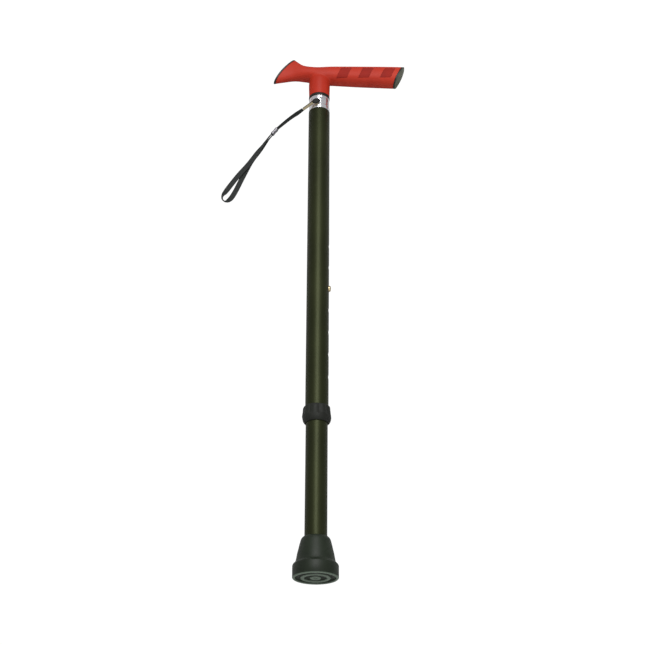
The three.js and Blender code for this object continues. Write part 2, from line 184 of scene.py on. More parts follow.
def relief_by(material, pattern, strength, distance):
    """The surface rises with a pattern."""
    bump = node(material, "ShaderNodeBump", Strength=strength, Distance=distance)
    join = material.node_tree.links.new
    join(pattern, bump.inputs["Height"])
    join(bump.outputs["Normal"], surface(material)["Normal"])


def woven_nylon():
    """Plain weave: ribs across the tape, pairs of warp threads along it, and a tighter edge."""
    material, join = blank("woven_nylon", Sheen_Weight=0.05, Sheen_Roughness=0.5, Specular_IOR_Level=0.3)
    uv = node(material, "ShaderNodeUVMap", uv_map="weave")
    ribs = node(material, "ShaderNodeTexWave", bands_direction="Y", Scale=3.6, Distortion=0.6)
    warp = node(material, "ShaderNodeTexWave", bands_direction="X", Scale=4.4, Distortion=0.3)
    fibre = node(material, "ShaderNodeTexNoise", Scale=70.0, Detail=4.0)
    for pattern in (ribs, warp, fibre):
        join(uv.outputs["UV"], pattern.inputs["Vector"])
    weave = node(material, "ShaderNodeMath", operation="MULTIPLY")
    join(ribs.outputs["Fac"], weave.inputs[0])
    join(warp.outputs["Fac"], weave.inputs[1])
    rough = node(material, "ShaderNodeMath", operation="ADD")
    join(weave.outputs[0], rough.inputs[0])
    join(fibre.outputs["Fac"], rough.inputs[1])
    colour_by(material, rough.outputs[0], [
        (0.25, (0.004, 0.005, 0.005)), (0.8, (0.012, 0.015, 0.014)), (1.0, (0.022, 0.026, 0.024))])
    roughness_by(material, fibre.outputs["Fac"], 0.5, 0.72)
    relief_by(material, rough.outputs[0], 0.6, 0.0002)
    return material


tape_finish = woven_nylon()

stud_low, stud_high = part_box("strap_stud")
stud = (stud_low + stud_high) * 500
clip_end = Vector((-17.3, 527.4, 5))
crimp_start = Vector((-46.6, 509.5, -7.9))
crimp_end = Vector((-51.9, 502.7, -8.4))
crimp_way = (crimp_end - crimp_start).normalized()
crimp_side = crimp_way.cross(Vector((0, 0, 1))).normalized()

tail_steps, loop_steps = 30, 150
tail_line, tail_length = even_curve(
    [clip_end + Vector((-0.7, -0.3, -0.3)), (-23.8, 524.2, 1.7), (-30.9, 520.7, -1.6), (-38.7, 515.8, -5.2),
     crimp_start - crimp_way * 0.5], tail_steps)
share = np.linspace(0, 1, tail_steps)
tail_leans = np.radians(np.interp(share, [0, 0.35, 1], [45, 12, 0]))
tail_widths = np.interp(share, [0, 0.25, 1], [0.6, 0.9, 1])
tail_tape = tape("strap_tail_tape", tail_line, tail_length, tail_leans, tail_widths, tape_finish)

leave = crimp_end + crimp_way * 0.5
loop_start, loop_back = (leave + crimp_side * 0.6).to_2d(), (leave - crimp_side * 0.6).to_2d()
loop_line, loop_length = even_curve(
    [(*loop_start, -7.6), (-56.7, 496.5, -7.5), (-62.3, 486.6, -7.4), (-75.5, 464.9, -7.7),
     (-87.9, 448.2, -8.5), (-100, 430, -9.8), (-103.8, 423.4, -10.3), (-103.2, 419, -10.5),
     (-99.9, 417.3, -10.5), (-95.3, 420.2, -10.4), (-90.1, 429.7, -10.3), (-81.6, 450.8, -10.3),
     (-73, 470, -10.3), (-61.9, 486.2, -9.9), (-55.9, 495.9, -9.5), (*loop_back, -9.2)], loop_steps)
share = np.linspace(0, 1, loop_steps)
loop_leans = np.radians(np.interp(
    share, [0, 0.04, 0.09, 0.15, 0.42, 0.45, 0.485, 0.52, 0.55, 0.85, 0.91, 0.96, 1],
    [-25, -27, -45, -78, -95, -70, 0, 70, 95, 78, 45, 27, 25]))
loop_widths = np.interp(share, [0, 0.05, 0.95, 1], [0.85, 1, 1, 0.85])
loop_tape = tape("strap_loop_tape", loop_line, loop_length, loop_leans, loop_widths, tape_finish)


# ---- Ferrule ----
# The foot is one moulding of black rubber, pushed over the lower tube. Its tread has rings and
# grooves round a middle boss, and its side flares from a narrow neck to a straight band.
def eased(outline, radius, closed=False):
    """The outline with each corner rounded off by a short arc."""
    corners = [Vector((*p, 0)) for p in outline]
    made = []
    for i, corner in enumerate(corners):
        if not closed and i in (0, len(corners) - 1):
            made.append(corner)
            continue
        before, after = corners[i - 1], corners[(i + 1) % len(corners)]
        a, b = before - corner, after - corner
        size = min(radius, a.length * 0.4, b.length * 0.4)
        if a.angle(b, 0) > math.radians(165):
            made.append(corner)
            continue
        start, end = corner + a.normalized() * size, corner + b.normalized() * size
        for t in (0, 0.25, 0.5, 0.75, 1):
            made.append(start.lerp(corner, t).lerp(corner.lerp(end, t), t))
    return [(p.x, p.y) for p in made]


def band_faces(rows, around, closed=True):
    """Faces between neighbouring rings, and from the last ring to the first if it closes."""
    faces = []
    for i in range(rows if closed else rows - 1):
        for j in range(around):
            a, b = i * around + j, i * around + (j + 1) % around
            k = ((i + 1) % rows - i) * around
            faces.append((a, a + k, b + k, b))
    return faces


def turned(outline, segments, closed=True):
    """Points and faces of an outline turned about the shaft's axis."""
    points = []
    for r, y in outline:
        for j in range(segments):
            angle = 2 * math.pi * j / segments
            points.append((r * math.cos(angle), y, r * math.sin(angle)))
    faces = band_faces(len(outline), segments, closed)
    if not closed:
        faces.append(tuple(range(segments)))
        faces.append(tuple(range(len(points) - segments, len(points)))[::-1])
    return points, faces


def moulded_rubber():
    """Matte rubber with a fine sandy skin and faint bloom. The tread's lands are painted greyer than its
    grooves: partly wear, partly painted light on the lands and painted shade in the grooves.
    """
    material, join = blank("moulded_rubber", Specular_IOR_Level=0.36)
    place = node(material, "ShaderNodeTexCoord")
    grain = node(material, "ShaderNodeTexNoise", Scale=1400.0, Detail=5.0, Roughness=0.6)
    bloom = node(material, "ShaderNodeTexNoise", Scale=45.0, Detail=6.0, Roughness=0.62)
    for pattern in (grain, bloom):
        join(place.outputs["Object"], pattern.inputs["Vector"])
    color = ramp(
        material, [(0.3, (0.003, 0.007, 0.002)), (0.55, (0.006, 0.012, 0.004)), (0.8, (0.010, 0.018, 0.007))])
    join(bloom.outputs["Fac"], color.inputs["Fac"])
    height = node(material, "ShaderNodeSeparateXYZ")
    join(place.outputs["Object"], height.inputs["Vector"])
    # Painted light and shade: faces within 0.3 mm of the tread's bottom get a greyer colour and the grooves
    # keep the dark one. This is partly wear on the lands, partly painted light on the lands and painted shade
    # in the grooves.
    land = node(material, "ShaderNodeMapRange", From_Min=0.0012, From_Max=0.0003)
    join(height.outputs["Y"], land.inputs["Value"])
    lands_worn_and_lit = node(material, "ShaderNodeMix", data_type="RGBA")
    lands_worn_and_lit.inputs["B"].default_value = (0.13, 0.17, 0.13, 1)
    join(land.outputs["Result"], lands_worn_and_lit.inputs["Factor"])
    join(color.outputs["Color"], lands_worn_and_lit.inputs["A"])
    join(lands_worn_and_lit.outputs["Result"], surface(material)["Base Color"])
    roughness_by(material, bloom.outputs["Fac"], 0.4, 0.58)
    relief_by(material, grain.outputs["Fac"], 0.35, 0.0001)
    return material


foot_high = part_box("ferrule")[1]
foot_radius, foot_top = foot_high.x * 1000, foot_high.y * 1000
tube_bore, bore_floor = 11.15, 12
tread = [(0.01, 0.9), (1.9, 0.7), (2.4, 0), (5, 0), (5.7, 1.7), (10.3, 1.7), (11, 0), (13.9, 0), (14.6, 1.8),
         (19, 1.8), (19.6, 0), (foot_radius - 0.8, 0), (foot_radius, 0.8)]
side = [(foot_radius, 11.7), (21.7, 12.9), (20.6, 14.1), (19.4, 15.3), (18.95, 16.4), (18.4, 19.1),
        (17.6, 23.8), (16.6, 27.7), (15.7, 31.6), (14.8, 35.2), (14.3, 37), (13.4, 38.7), (12.3, foot_top)]
inside = [(tube_bore, foot_top), (tube_bore, bore_floor), (0.01, bore_floor)]
ferrule_outline = eased(tread, 0.45) + eased(side, 0.5) + inside
points, faces = turned(ferrule_outline, 128, closed=False)
mesh_piece("ferrule_moulding", points, faces, "lower", moulded_rubber(), "ferrule", sharp=60)


# ---- Steel washer in the ferrule ----
# A plain steel disc, stamped out and dropped to the bottom of the rubber's bore, so that the tube's
# end doesn't cut through the rubber.
def bare_metal(name, tint, rough, stretch):
    """Bare metal with fine drawn lines and a little staining."""
    material, join = blank(name, Metallic=1.0)
    place = node(material, "ShaderNodeTexCoord")
    squeeze = node(material, "ShaderNodeMapping")
    squeeze.inputs["Scale"].default_value = stretch
    join(place.outputs["Object"], squeeze.inputs["Vector"])
    lines = node(material, "ShaderNodeTexNoise", Scale=8.0, Detail=6.0)
    join(squeeze.outputs["Vector"], lines.inputs["Vector"])
    stain = node(material, "ShaderNodeTexNoise", Scale=120.0, Detail=3.0)
    join(place.outputs["Object"], stain.inputs["Vector"])
    stained = tuple(0.72 * c for c in tint)
    colour_by(material, stain.outputs["Fac"], [(0.3, stained), (0.6, tint)])
    roughness_by(material, lines.outputs["Fac"], rough * 0.75, rough * 1.35)
    relief_by(material, lines.outputs["Fac"], 0.12, 0.0001)
    return material


def finish_part(name, material):
    """Gives a part that is used as it stands its real finish."""
    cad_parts[name].data.materials.clear()
    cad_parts[name].data.materials.append(material)


steel = bare_metal("plain_steel", (0.52, 0.52, 0.53), 0.28, (60, 900, 60))
finish_part("ferrule_washer", steel)


# ---- Lower tube ----
# Drawn aluminium tube under glossy olive-black lacquer. It slides in the upper tube, and one hole
# near its top lets the snap button out. Both ends are deburred.
def dark_lacquer():
    """Baked lacquer with a trace of metal flake, a clear top coat and a very slight orange peel."""
    material, join = blank("dark_lacquer", Metallic=0.8, Coat_Weight=0.06, Coat_Roughness=0.3)
    place = node(material, "ShaderNodeTexCoord")
    flake = node(material, "ShaderNodeTexVoronoi", Scale=2600.0)
    peel = node(material, "ShaderNodeTexNoise", Scale=520.0, Detail=3.0)
    cloud = node(material, "ShaderNodeTexNoise", Scale=16.0, Detail=4.0)
    for pattern in (flake, peel, cloud):
        join(place.outputs["Object"], pattern.inputs["Vector"])
    color = ramp(material, [(0.35, (0.020, 0.024, 0.007)), (0.65, (0.027, 0.032, 0.010))])
    join(cloud.outputs["Fac"], color.inputs["Fac"])
    spark = ramp(material, [(0.0, (0.07, 0.08, 0.03)), (0.16, (0.0, 0.0, 0.0))])
    join(flake.outputs["Distance"], spark.inputs["Fac"])
    both = node(material, "ShaderNodeMix", data_type="RGBA", blend_type="ADD")
    both.inputs["Factor"].default_value = 0.5
    join(color.outputs["Color"], both.inputs["A"])
    join(spark.outputs["Color"], both.inputs["B"])
    join(both.outputs["Result"], surface(material)["Base Color"])
    roughness_by(material, cloud.outputs["Fac"], 0.42, 0.5)
    relief_by(material, peel.outputs["Fac"], 0.1, 0.0001)
    return material


def loose(points, faces):
    """A helper solid that isn't part of the cane."""
    mesh = bpy.data.meshes.new("cutter")
    mesh.from_pydata([Vector(p) * 0.001 for p in points], [], faces)
    mesh.validate()
    made = bpy.data.objects.new("cutter", mesh)
    bpy.context.scene.collection.objects.link(made)
    return made


def baked(piece):
    """Turns a piece's modifiers into its own mesh."""
    bpy.context.view_layer.update()
    shape = bpy.data.meshes.new_from_object(piece.evaluated_get(bpy.context.evaluated_depsgraph_get()))
    piece.modifiers.clear()
    piece.data = shape


def combine(piece, tool, operation):
    """Joins to or cuts from a piece, and does away with the tool."""
    step = piece.modifiers.new(operation, "BOOLEAN")
    step.operation, step.object, step.solver = operation, tool, "MANIFOLD"
    baked(piece)
    bpy.data.objects.remove(tool)


def smooth_again(piece, sharp=35):
    """Smooth shading, with edges where the surface turns sharply."""
    piece.data.shade_smooth()
    piece.data.set_sharp_from_angle(angle=math.radians(sharp))


def drill(tube, y):
    """Drills one side of a tube for the snap button."""
    hole_radius = 3.4
    points, faces = turned([(hole_radius, 5), (hole_radius, 20)], 40, closed=False)
    combine(tube, loose([(q, y - p, r) for p, q, r in points], faces), "DIFFERENCE")


lacquer = dark_lacquer()
low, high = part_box("lower_tube")
radius, bottom, top = high.x * 1000, low.y * 1000, high.y * 1000
bore = radius - 0.8
button_y = sum(corner.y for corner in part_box("snap_button")) * 500
outline = eased([(radius, bottom), (radius, top), (bore, top), (bore, bottom)], 0.25, closed=True)
points, faces = turned(outline, 128)
lower_tube = mesh_piece("lower_tube_drawn", points, faces, "lower", lacquer, "lower_tube")
drill(lower_tube, button_y)
smooth_again(lower_tube)


# ---- Bush in the lower tube's top ----
# A black moulded plug, pressed into the lower tube's upper end. It keeps the tube's mouth round and
# runs smoothly in the upper tube.
def moulded_black(name, light, rough):
    """Injection-moulded plastic with a fine spark texture and a dull shine."""
    material, join = blank(name, Specular_IOR_Level=0.3)
    place = node(material, "ShaderNodeTexCoord")
    grain = node(material, "ShaderNodeTexNoise", Scale=900.0, Detail=4.0)
    cloud = node(material, "ShaderNodeTexNoise", Scale=60.0, Detail=4.0)
    for pattern in (grain, cloud):
        join(place.outputs["Object"], pattern.inputs["Vector"])
    shade, lit = (light * 0.7, light * 0.8, light * 0.6), (light * 1.2, light * 1.4, light)
    colour_by(material, cloud.outputs["Fac"], [(0.3, shade), (0.7, lit)])
    roughness_by(material, grain.outputs["Fac"], rough * 0.8, rough * 1.25)
    relief_by(material, grain.outputs["Fac"], 0.2, 0.0001)
    return material


black = moulded_black("moulded_black", 0.009, 0.55)
finish_part("lower_tube_plug", black)


# ---- Snap button and its spring ----
# A turned brass button with a domed end stands through both tubes. A strip of spring steel, bent to
# a U inside the lower tube, pushes it out.
button_brass = bare_metal("button_brass", (0.62, 0.50, 0.30), 0.3, (300, 300, 300))
dome = [(0.01, 6.3), (4.2, 6.3), (4.2, 7.5), (3.1, 7.5), (3.1, 12.3), (2.95, 12.9), (2.4, 13.3), (1.3, 13.55),
        (0.01, 13.6)]
points, faces = turned(eased(dome, 0.25), 48, closed=False)
points = [(q, button_y - p, r) for p, q, r in points]
mesh_piece("snap_button_turned", points, faces, "button", button_brass, "snap_button")
finish_part("spring_leaf", steel)
finish_part("spring_bow", steel)


# ---- Upper tube ----
# The same lacquered aluminium in the next size up, with seven drilled holes in a row for the
# height settings. Its lower end stands in the lock ring and its upper end meets the collar.
low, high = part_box("upper_tube")
radius, bottom, top = high.z * 1000, low.y * 1000, high.y * 1000
bore = radius - 0.4
outline = eased([(radius, bottom), (radius, top), (bore, top), (bore, bottom)], 0.18, closed=True)
points, faces = turned(outline, 128)
upper_tube = mesh_piece("upper_tube_drawn", points, faces, "upper", lacquer, "upper_tube")
holes_below, holes_above, hole_pitch = 4, 2, 25
for step in range(-holes_below, holes_above + 1):
    drill(upper_tube, button_y + hole_pitch * step)
smooth_again(upper_tube)


# ---- Lock ring, with its washer and collet ----
# A black moulded nut that stops the tubes from rattling. Nine finger lobes stand round its upper
# band and a plain cone runs down to the lower tube. Turning it squeezes a split nylon collet.
low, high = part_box("lock_ring")
bottom, top = low.y * 1000, high.y * 1000
levels = [(0, 11.8, 0), (0.4, 12.2, 0), (1, 12.8, 0), (1.6, 13.25, 0), (2.6, 13.75, 0), (4.2, 14.15, 0),
          (5.8, 14.35, 0), (6.3, 14.35, 0.1), (6.6, 14.1, 0.4), (6.9, 13.8, 0.8), (7.4, 13.55, 1),
          (9.6, 13.3, 1), (12, 13, 1), (14.6, 12.8, 1), (15.7, 12.75, 0.95), (16.4, 12.7, 0.78),
          (16.9, 12.65, 0.5), (top - bottom, 12.6, 0.25)]
lobes = 9
around, points = lobes * 24, []
for rise, valley, share in levels:
    for j in range(around):
        angle = 2 * math.pi * j / around
        wave = max(0.0, 0.5 + 0.5 * math.cos(lobes * (angle - math.pi)))
        r = valley + 1.05 * share * wave**0.55
        points.append((r * math.cos(angle), bottom + rise, r * math.sin(angle)))
for r, rise in ((12, top - bottom), (12, 1.7), (11.3, 1.2), (11.3, 0)):
    for j in range(around):
        angle = 2 * math.pi * j / around
        points.append((r * math.cos(angle), bottom + rise, r * math.sin(angle)))
faces = band_faces(len(points) // around, around)
nut_black = moulded_black("nut_black", 0.009, 0.6)
mesh_piece("lock_ring_moulded", points, faces, "ring", nut_black, "lock_ring", sharp=50)


def white_nylon():
    """Natural nylon: milky, faintly mottled, slightly waxy."""
    material, join = blank("white_nylon", Subsurface_Weight=0.1)
    place = node(material, "ShaderNodeTexCoord")
    cloud = node(material, "ShaderNodeTexNoise", Scale=90.0, Detail=4.0)
    join(place.outputs["Object"], cloud.inputs["Vector"])
    colour_by(material, cloud.outputs["Fac"], [(0.3, (0.56, 0.54, 0.47)), (0.7, (0.68, 0.66, 0.59))])
    roughness_by(material, cloud.outputs["Fac"], 0.38, 0.55)
    return material


nylon = white_nylon()
finish_part("clamp_washer", button_brass)
finish_part("split_collet", nylon)
finish_part("handle_core", nylon)


# ---- Collar, black ring and rivet ----
# A chromed sleeve with a rolled lower band covers the joint of tube and handle. A black ring seats
# the handle's stem, and one domed rivet through collar and core holds everything together.
def bright_chrome():
    """Chrome plate with hairline scratches and a hint of dulling."""
    material, join = blank("bright_chrome", Metallic=1.0)
    place = node(material, "ShaderNodeTexCoord")
    squeeze = node(material, "ShaderNodeMapping")
    squeeze.inputs["Scale"].default_value = (40, 700, 40)
    join(place.outputs["Object"], squeeze.inputs["Vector"])
    hair = node(material, "ShaderNodeTexNoise", Scale=6.0, Detail=8.0)
    join(squeeze.outputs["Vector"], hair.inputs["Vector"])
    haze = node(material, "ShaderNodeTexNoise", Scale=110.0, Detail=3.0)
    join(place.outputs["Object"], haze.inputs["Vector"])
    colour_by(material, haze.outputs["Fac"], [(0.3, (0.70, 0.70, 0.74)), (0.6, (0.86, 0.86, 0.90))])
    roughness_by(material, hair.outputs["Fac"], 0.13, 0.25)
    relief_by(material, hair.outputs["Fac"], 0.05, 0.0001)
    return material


chrome = bright_chrome()
core_bore = 9.25
low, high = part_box("collar")
radius, bottom, top = high.x * 1000, low.y * 1000, high.y * 1000
waist = radius - 0.35
outline = [(radius - 0.1, bottom), (radius, bottom + 0.5), (radius, bottom + 4.6), (waist, bottom + 5.1),
           (waist, top - 1.3), (radius - 0.1, top - 1), (radius - 0.1, top), (core_bore, top),
           (core_bore, bottom)]
points, faces = turned(eased(outline, 0.3, closed=True), 128)
mesh_piece("collar_sleeve", points, faces, "upper", chrome, "collar")

low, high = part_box("neck_ring")
radius, bottom, top = high.z * 1000, low.y * 1000, high.y * 1000
outline = [(radius, bottom), (radius, top), (core_bore, top), (core_bore, bottom)]
points, faces = turned(eased(outline, 0.6, closed=True), 128)
mesh_piece("neck_ring_moulded", points, faces, "upper", black, "neck_ring")

rivet_y = sum(corner.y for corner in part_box("collar_rivet")) * 500
turn = math.radians(11)
outline = [(0.01, 6), (1.2, 6), (1.2, 11.7), (2.15, 11.7), (2.1, 12.15), (1.75, 12.6), (1.1, 12.9),
           (0.01, 13)]
points, faces = turned(eased(outline, 0.2), 40, closed=False)
points = [(p * math.cos(turn) + q * math.sin(turn), rivet_y - r, q * math.cos(turn) - p * math.sin(turn))
          for p, q, r in points]
mesh_piece("collar_rivet_head", points, faces, "upper", chrome, "collar_rivet")


# ---- Handle ----
# A T-shaped grip of soft red moulded rubber over the nylon core. The long arm is a flattened oval,
# the horn narrows at its saddle and flares to a slanted end. Stem and arm run into each other.
arm_rows = [(-56, 564.6, 600, 6.8), (-40, 567.6, 599.5, 7.2), (-31, 569.5, 597.6, 8),
            (-26, 570.3, 593.6, 8.7), (-19, 570.5, 587.5, 9.6), (-11, 569.8, 584.9, 10.5),
            (0, 566.6, 584.3, 11.2), (14, 566, 585.3, 11.2), (46, 563.9, 585.7, 11.2),
            (80, 562.4, 585.7, 11.2), (104, 561.4, 585.1, 11.2)]


def arm_at(share):
    """Place along the arm, underside, top and half thickness, at a share of its length."""
    rows = np.array(arm_rows, float)
    step = share * (len(rows) - 1)
    i = min(int(step), len(rows) - 2)
    t = step - i
    p0, p1, p2, p3 = rows[max(i - 1, 0)], rows[i], rows[i + 1], rows[min(i + 2, len(rows) - 1)]
    v0, v1 = (p2 - p0) / 2, (p3 - p1) / 2
    return (2 * p1 - 2 * p2 + v0 + v1) * t**3 + (-3 * p1 + 3 * p2 - 2 * v0 - v1) * t**2 + v0 * t + p1


def arm_solid(grow=0.0):
    """The arm before its ends are cut, grown or shrunk all round."""
    steps, around, points = 90, 72, []
    for i in range(steps + 1):
        x, under, over, deep = arm_at(i / steps)
        for j in range(around):
            angle = 2 * math.pi * j / around
            c, s = math.cos(angle), math.sin(angle)
            y = (under + over) / 2 + ((over - under) / 2 + grow) * math.copysign(abs(c) ** (1 / 1.2), c)
            z = (deep + grow) * math.copysign(abs(s) ** (1 / 1.2), s)
            points.append((x, y, z))
    return loose(points, skin(steps + 1, around))


def slab(corners, start=-24.0, end=24.0):
    """A flat outline in the handle's plane, pushed through its thickness."""
    count = len(corners)
    points = [(x, y, start) for x, y in corners] + [(x, y, end) for x, y in corners]
    faces = [tuple(range(count))[::-1], tuple(range(count, 2 * count))]
    for i in range(count):
        j = (i + 1) % count
        faces.append((i, j, j + count, i + count))
    return loose(points, faces)


horn_face, horn_in = Vector((-38.7, 581.3)), Vector((0.763, -0.646))
tip_face, tip_in = Vector((89.5, 573)), Vector((-0.9, 0.436))


def between_ends(depth):
    """All of the handle that lies deeper than this under the bulging horn face and the flat tip face."""
    corners = []
    for across in range(44, -45, -2):
        side_way = Vector((-horn_in.y, horn_in.x)) * across
        corners.append(tuple(horn_face + horn_in * (depth - 1.6 + across**2 / 180) + side_way))
    for across in (44, -44):
        side_way = Vector((-tip_in.y, tip_in.x)) * across
        corners.append(tuple(tip_face + tip_in * depth + side_way))
    return slab(corners)


def soft_red_rubber():
    """Soft-touch red: a fine pebbled skin, slightly darker where hands have polished it."""
    material, join = blank("soft_red_rubber", Specular_IOR_Level=0.2)
    place = node(material, "ShaderNodeTexCoord")
    pebble = node(material, "ShaderNodeTexVoronoi", Scale=1500.0)
    grain = node(material, "ShaderNodeTexNoise", Scale=2200.0, Detail=3.0)
    cloud = node(material, "ShaderNodeTexNoise", Scale=26.0, Detail=5.0, Roughness=0.55)
    for pattern in (pebble, grain, cloud):
        join(place.outputs["Object"], pattern.inputs["Vector"])
    colour_by(material, cloud.outputs["Fac"], [
        (0.3, (0.38, 0.022, 0.009)), (0.5, (0.43, 0.027, 0.011)), (0.75, (0.48, 0.034, 0.014))])
    roughness_by(material, cloud.outputs["Fac"], 0.42, 0.6)
    height = node(material, "ShaderNodeMath", operation="ADD")
    join(pebble.outputs["Distance"], height.inputs[0])
    join(grain.outputs["Fac"], height.inputs[1])
    relief_by(material, height.outputs[0], 0.22, 0.0001)
    return material


def pad_outline(number, margin):
    """Pads 0 to 2 lie on the upper side of the lying handle, 3 to 5 on its other side."""
    first, pitch, width, low_y, high_y, slope = 18.9, 24.35, 11.6, 567.6, 579.8, 0.48
    left = first + pitch * (number % 3)
    right = left + width
    rise = slope * (high_y - low_y)
    corners = [(left - margin, low_y - margin), (right + margin, low_y - margin),
               (right + margin + rise, high_y + margin), (left - margin + rise, high_y + margin)]
    return slab(corners, 1.0, 24.0) if number < 3 else slab(corners, -24.0, -1.0)


def finish_in(piece, name, body, slot, replaces, *materials):
    """Names a modelled piece, gives it its materials and puts it on its body."""
    piece.name = name
    piece.data.materials.clear()
    for material in materials:
        piece.data.materials.append(material)
    for polygon in piece.data.polygons:
        polygon.material_index = 0
    smooth_again(piece, 40)
    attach(piece, body)
    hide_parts(replaces)


grip = arm_solid()
stem_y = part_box("grip")[0].y * 1000
stem = [(11.4, stem_y - 6), (11.4, stem_y), (11.6, 554), (11.8, 561), (11.5, 567), (9.5, 574)]
combine(grip, loose(*turned(stem, 72, closed=False)), "UNION")
remesh = grip.modifiers.new("skin", "REMESH")
remesh.mode, remesh.voxel_size = "VOXEL", 0.0007
baked(grip)
soften = grip.modifiers.new("soften", "SMOOTH")
soften.factor, soften.iterations = 0.5, 14
baked(grip)
combine(grip, between_ends(1.9), "INTERSECT")
below_stem = [(30, stem_y - 30), (30, stem_y)]
combine(grip, loose(*turned(below_stem, 32, closed=False)), "DIFFERENCE")
core_pocket = [(core_bore, stem_y - 1), (core_bore, 577.3)]
combine(grip, loose(*turned(core_pocket, 64, closed=False)), "DIFFERENCE")
for number in range(6):
    pocket = pad_outline(number, 0.12)
    combine(pocket, arm_solid(-0.8), "DIFFERENCE")
    combine(grip, pocket, "DIFFERENCE")
finish_in(grip, "grip_moulding", "upper", "soft_red", "grip", soft_red_rubber())


# ---- Grip pads ----
# Six slanting pads of darker red rubber with a fine diamond tread, bonded into shallow pockets in
# the long arm, three on either side.
def pad_rubber():
    """Darker red rubber with small raised diamonds."""
    material, join = blank("pad_rubber", Specular_IOR_Level=0.2)
    place = node(material, "ShaderNodeTexCoord")
    diamonds = node(material, "ShaderNodeTexVoronoi", Scale=900.0, Randomness=0.15)
    cloud = node(material, "ShaderNodeTexNoise", Scale=60.0, Detail=5.0)
    for pattern in (diamonds, cloud):
        join(place.outputs["Object"], pattern.inputs["Vector"])
    colour_by(material, cloud.outputs["Fac"], [(0.3, (0.24, 0.011, 0.006)), (0.75, (0.31, 0.017, 0.009))])
    roughness_by(material, cloud.outputs["Fac"], 0.6, 0.8)
    relief_by(material, diamonds.outputs["Distance"], 0.4, 0.0002)
    return material


def eased_edges(piece, width, segments, angle):
    """Small bevels on the edges that turn by more than an angle."""
    ease = piece.modifiers.new("ease", "BEVEL")
    ease.width, ease.segments = width, segments
    ease.limit_method, ease.angle_limit = "ANGLE", math.radians(angle)
    baked(piece)


pad_finish = pad_rubber()
for number in range(6):
    pad = arm_solid(-0.02)
    combine(pad, pad_outline(number, -0.05), "INTERSECT")
    combine(pad, arm_solid(-0.75), "DIFFERENCE")
    eased_edges(pad, 0.00012, 2, 50)
    finish_in(pad, f"grip_pad_{number + 1}_tread", "upper", "dark_red", f"grip_pad_{number + 1}", pad_finish)


# ---- End plates ----
# Thin olive-black plastic plates close the handle's two ends. Each has a peg pressed into the grip, and a
# slightly rounded rim. The rim and sides get a darker black than the olive face as painted shade on the
# plate's edge, and show as a dark line round the red.
def olive_plate():
    """Satin olive plastic for the plates' faces; their darker rims are a separate material, painted shade."""
    material, join = blank("olive_plate", Specular_IOR_Level=0.3)
    place = node(material, "ShaderNodeTexCoord")
    grain = node(material, "ShaderNodeTexNoise", Scale=800.0, Detail=4.0)
    cloud = node(material, "ShaderNodeTexNoise", Scale=70.0, Detail=4.0)
    for pattern in (grain, cloud):
        join(place.outputs["Object"], pattern.inputs["Vector"])
    colour_by(material, cloud.outputs["Fac"], [(0.3, (0.060, 0.068, 0.034)), (0.7, (0.092, 0.102, 0.056))])
    roughness_by(material, grain.outputs["Fac"], 0.4, 0.55)
    relief_by(material, grain.outputs["Fac"], 0.15, 0.0001)
    return material


plate_olive = olive_plate()
# Painted shade: a darker black for the plates' rims and sides, standing in for the shade on their edges.
plate_rim_painted_shade = moulded_black("plate_rim_painted_shade", 0.012, 0.4)
for name, face, inward in (("horn_end_plate", horn_face, horn_in), ("long_arm_end_plate", tip_face, tip_in)):
    plate = arm_solid()
    combine(plate, between_ends(0), "INTERSECT")
    combine(plate, between_ends(1.6), "DIFFERENCE")
    start = 20 if face.x < 0 else -80
    far_half = slab([(start, 540), (start + 100, 540), (start + 100, 620), (start, 620)])
    combine(plate, far_half, "DIFFERENCE")
    eased_edges(plate, 0.00045, 3, 45)
    finish_in(plate, f"{name}_moulded", "upper", "olive_plastic", name, plate_olive, plate_rim_painted_shade)
    # Only faces turned outward keep the olive; the rim and sides get the painted-shade black.
    outward = Vector((-inward.x, -inward.y, 0))
    for polygon in plate.data.polygons:
        polygon.material_index = 0 if polygon.normal.dot(outward) > 0.9 else 1


# ---- Strap stud, clip and crimp ----
# A black moulded stud through the collar carries the strap's eye. The clip is a stamped strip of
# pale brass bent down from the eye, and the crimp is a flattened silver sleeve over the tape.
heading = Vector((clip_end.x - stud.x, clip_end.y - stud.y, 0)).normalized()
side_way = Vector((-heading.y, heading.x, 0))
outline = [(0.01, 5), (1.4, 5), (1.4, 12.8), (3, 12.9), (3.25, 13.4), (3, 14.1), (2.1, 14.6), (0.01, 14.8)]
points, faces = turned(eased(outline, 0.3), 48, closed=False)
head_start, head_stretch = 12.82, 1.45
points = [Vector((stud.x, stud.y, q)) + heading * p * (head_stretch if q > head_start else 1) - side_way * r
          for p, q, r in points]
stud_black = moulded_black("stud_black", 0.004, 0.6)
mesh_piece("strap_stud_moulded", points, faces, "upper", stud_black, "strap_stud")

clip_steps, clip_taper = 24, 0.12
eye = Vector((stud.x, stud.y, 12.2))
clip_line, _ = even_curve(
    [eye + heading * 1.9, eye + heading * 4, eye.lerp(clip_end, 0.65) + Vector((0, 0, 1)),
     clip_end + Vector((-0.4, -0.17, -0.17))], clip_steps)
clip_ways = np.gradient(clip_line, axis=0)
clip_ring = [(2.1, 0.15), (1.95, 0.4), (-1.1, 0.4), (-1.95, 0.4), (-2.1, 0.15), (-2.1, -0.15),
             (-1.95, -0.4), (-1.1, -0.4), (1.95, -0.4), (2.1, -0.15)]
points = []
for i, centre in enumerate(clip_line):
    up = Vector(clip_ways[i]).cross(side_way).normalized()
    up = up if up.z > 0 else -up
    for w, t in clip_ring:
        points.append(Vector(centre) + side_way * w * (1 - clip_taper * i / (clip_steps - 1)) + up * t)
clip = loose(points, skin(clip_steps, len(clip_ring)))
points, faces = turned([(3, 11.8), (3, 12.6), (1.7, 12.6), (1.7, 11.8)], 48)
